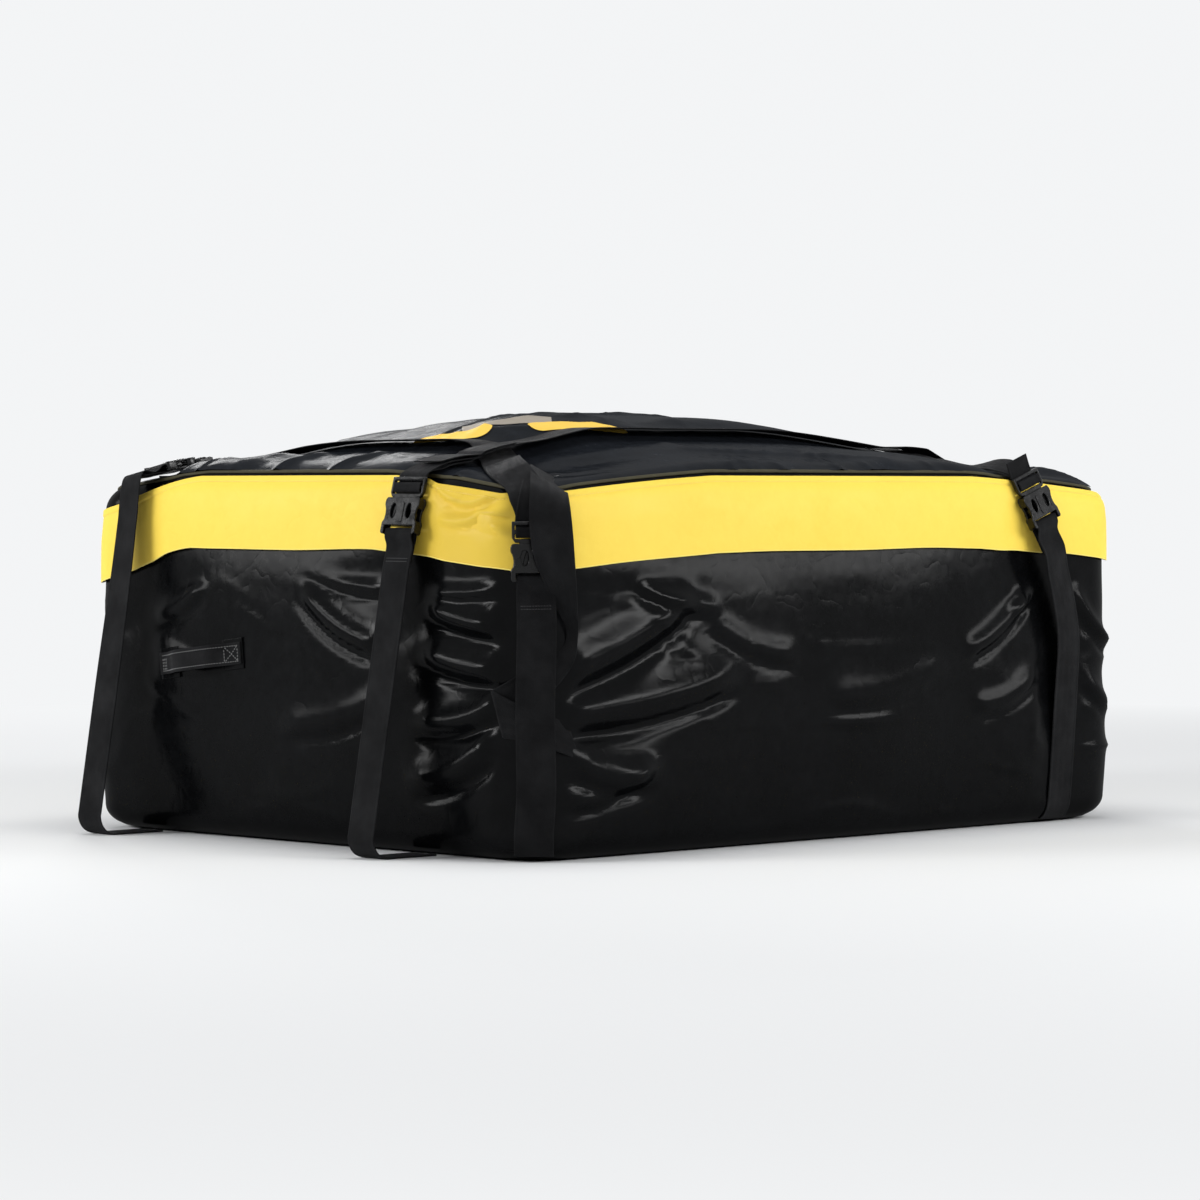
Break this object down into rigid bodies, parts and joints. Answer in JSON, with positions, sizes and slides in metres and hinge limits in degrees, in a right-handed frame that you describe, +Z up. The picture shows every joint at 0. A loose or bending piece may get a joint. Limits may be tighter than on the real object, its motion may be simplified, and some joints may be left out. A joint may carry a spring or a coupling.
{
  "type": "rooftop cargo bag",
  "caption": "Soft rooftop cargo bag, packed full and closed, with a coloured storm flap over its zip, webbing tie-down straps, side-release buckles and grab handles.",
  "frame": {"origin": "middle of the base, on the surface that the bag stands on", "axes": "+X along the bag's length, +Y towards the rear long wall, +Z up. In the picture the front long wall (-Y) is on the right, the left short wall (-X) on the left"},
  "size_m": [1.3616, 0.9798, 0.565],
  "materials": {
    "coated_fabric_black": "smooth glossy coating with creases",
    "coated_fabric_yellow": "satin coating",
    "webbing_black": "matte woven webbing",
    "moulded_nylon_black": "fine satin moulding",
    "zip_black": "woven zip tape with moulded teeth"
  },
  "bodies": {
    "bag": {"bag_body": "coated_fabric_black", "buckle_socket_front_left": "moulded_nylon_black", "buckle_socket_front_right": "moulded_nylon_black", "buckle_socket_left_front": "moulded_nylon_black", "buckle_socket_left_rear": "moulded_nylon_black", "buckle_socket_rear_left": "moulded_nylon_black", "buckle_socket_rear_right": "moulded_nylon_black", "buckle_socket_right_front": "moulded_nylon_black", "buckle_socket_right_rear": "moulded_nylon_black", "handle_left": "webbing_black", "handle_patch_left_front": "coated_fabric_black", "handle_patch_left_rear": "coated_fabric_black", "handle_patch_right_front": "coated_fabric_black", "handle_patch_right_rear": "coated_fabric_black", "handle_right": "webbing_black", "lid_strap_front": "webbing_black", "lid_strap_left": "webbing_black", "lid_strap_rear": "webbing_black", "lid_strap_right": "webbing_black", "lower_strap_front_left": "webbing_black", "lower_strap_front_right": "webbing_black", "lower_strap_left_front": "webbing_black", "lower_strap_left_rear": "webbing_black", "lower_strap_rear_left": "webbing_black", "lower_strap_rear_right": "webbing_black", "lower_strap_right_front": "webbing_black", "lower_strap_right_rear": "webbing_black", "storm_flap": "coated_fabric_yellow", "strap_end_front_left": "webbing_black", "strap_end_front_right": "webbing_black", "strap_end_left_front": "webbing_black", "strap_end_left_rear": "webbing_black", "strap_end_rear_left": "webbing_black", "strap_end_rear_right": "webbing_black", "strap_end_right_front": "webbing_black", "strap_end_right_rear": "webbing_black", "zip_pull_left": "webbing_black", "zip_pull_right": "webbing_black", "zip_slider_left": "moulded_nylon_black", "zip_slider_right": "moulded_nylon_black", "zip_tape": "zip_black"},
    "plug_left_front": {"buckle_plug_left_front": "moulded_nylon_black"},
    "plug_left_rear": {"buckle_plug_left_rear": "moulded_nylon_black"},
    "plug_front_left": {"buckle_plug_front_left": "moulded_nylon_black"},
    "plug_front_right": {"buckle_plug_front_right": "moulded_nylon_black"},
    "plug_right_front": {"buckle_plug_right_front": "moulded_nylon_black"},
    "plug_right_rear": {"buckle_plug_right_rear": "moulded_nylon_black"},
    "plug_rear_left": {"buckle_plug_rear_left": "moulded_nylon_black"},
    "plug_rear_right": {"buckle_plug_rear_right": "moulded_nylon_black"}
  },
  "joints": [
    {"name": "release_left_front", "type": "slide", "parent": "bag", "child": "plug_left_front", "axis": [0.2583, 0, 0.9661], "range_m": [0, 0.036], "deforming": ["strap_end_left_front"]},
    {"name": "release_left_rear", "type": "slide", "parent": "bag", "child": "plug_left_rear", "axis": [0.9854, -0.0934, 0.1423], "range_m": [0, 0.036], "deforming": ["strap_end_left_rear"]},
    {"name": "release_front_left", "type": "slide", "parent": "bag", "child": "plug_front_left", "axis": [0, 0.02, 0.9998], "range_m": [0, 0.036], "deforming": ["strap_end_front_left"]},
    {"name": "release_front_right", "type": "slide", "parent": "bag", "child": "plug_front_right", "axis": [-0.3104, 0.2691, 0.9117], "range_m": [0, 0.036], "deforming": ["strap_end_front_right"]},
    {"name": "release_right_front", "type": "slide", "parent": "bag", "child": "plug_right_front", "axis": [-0.202, 0, 0.9794], "range_m": [0, 0.036], "deforming": ["strap_end_right_front"]},
    {"name": "release_right_rear", "type": "slide", "parent": "bag", "child": "plug_right_rear", "axis": [-0.212, -0.0077, 0.9772], "range_m": [0, 0.036], "deforming": ["strap_end_right_rear"]},
    {"name": "release_rear_left", "type": "slide", "parent": "bag", "child": "plug_rear_left", "axis": [0, -0.1358, 0.9907], "range_m": [0, 0.036], "deforming": ["strap_end_rear_left"]},
    {"name": "release_rear_right", "type": "slide", "parent": "bag", "child": "plug_rear_right", "axis": [0, -0.0879, 0.9961], "range_m": [0, 0.036], "deforming": ["strap_end_rear_right"]}
  ]
}
